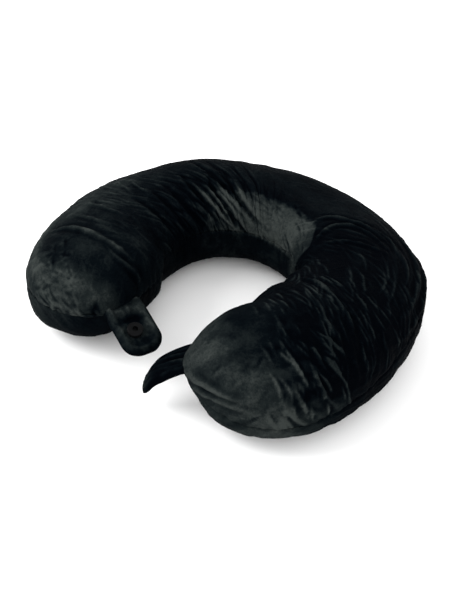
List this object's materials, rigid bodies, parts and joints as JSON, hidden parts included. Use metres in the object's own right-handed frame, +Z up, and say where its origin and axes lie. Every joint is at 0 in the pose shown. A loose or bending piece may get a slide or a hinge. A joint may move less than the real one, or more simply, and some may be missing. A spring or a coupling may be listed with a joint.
{
  "type": "neck pillow",
  "caption": "U shaped foam travel pillow in a zipped velvet cover, with snap tabs that close its front.",
  "frame": {"origin": "middle of the bounding box on the resting face", "axes": "+Z up out of the crown of the pillow, the opening between the lobes faces -Y, the wearer's left lobe end is on -X"},
  "size_m": [0.3042, 0.271, 0.0827],
  "materials": {
    "foam": "matte",
    "liner_knit": "matte",
    "velvet": "pile",
    "zipper_tape": "matte",
    "zipper_coil": "satin",
    "zipper_metal": "satin",
    "snap_plastic": "satin",
    "label_satin": "satin"
  },
  "bodies": {
    "pillow": {"foam_core": "foam", "liner_upper_panel": "liner_knit", "liner_lower_panel": "liner_knit", "cover_top_panel": "velvet", "cover_outer_band": "velvet", "cover_inner_band": "velvet", "cover_bottom_panel": "velvet", "zipper_tape_upper": "zipper_tape", "zipper_tape_lower": "zipper_tape", "zipper_coil_upper": "zipper_coil", "zipper_coil_lower": "zipper_coil", "zipper_top_stops": "zipper_metal", "zipper_bottom_stop": "zipper_metal", "care_label": "label_satin"},
    "slider": {"zipper_slider": "zipper_metal"},
    "pull": {"zipper_pull": "zipper_metal"},
    "left_tab": {"left_tab_face": "velvet", "left_tab_back": "velvet", "left_snap_cap": "snap_plastic", "left_snap_socket": "snap_plastic"},
    "right_tab": {"right_tab_face": "velvet", "right_tab_back": "velvet", "right_snap_cap": "snap_plastic", "right_snap_stud": "snap_plastic"}
  },
  "joints": [
    {"name": "zipper_travel", "type": "hinge", "parent": "pillow", "child": "slider", "pos_m": [0, -0.01683, 0.034], "axis": [0, 0, -1], "range_deg": [0, 86]},
    {"name": "pull_swing", "type": "hinge", "parent": "slider", "child": "pull", "pos_m": [-0.10441, 0.09514, 0.034], "axis": [0, 0, 1], "range_deg": [0, 170]},
    {"name": "left_tab_fold", "type": "hinge", "parent": "pillow", "child": "left_tab", "pos_m": [-0.03448, -0.10368, 0.044], "axis": [-0.3948, -0.9188, 0], "range_deg": [-62, 90]},
    {"name": "right_tab_fold", "type": "hinge", "parent": "pillow", "child": "right_tab", "pos_m": [0.03804, -0.11195, 0.044], "axis": [-0.3948, 0.9188, 0], "range_deg": [-40, 120]}
  ]
}
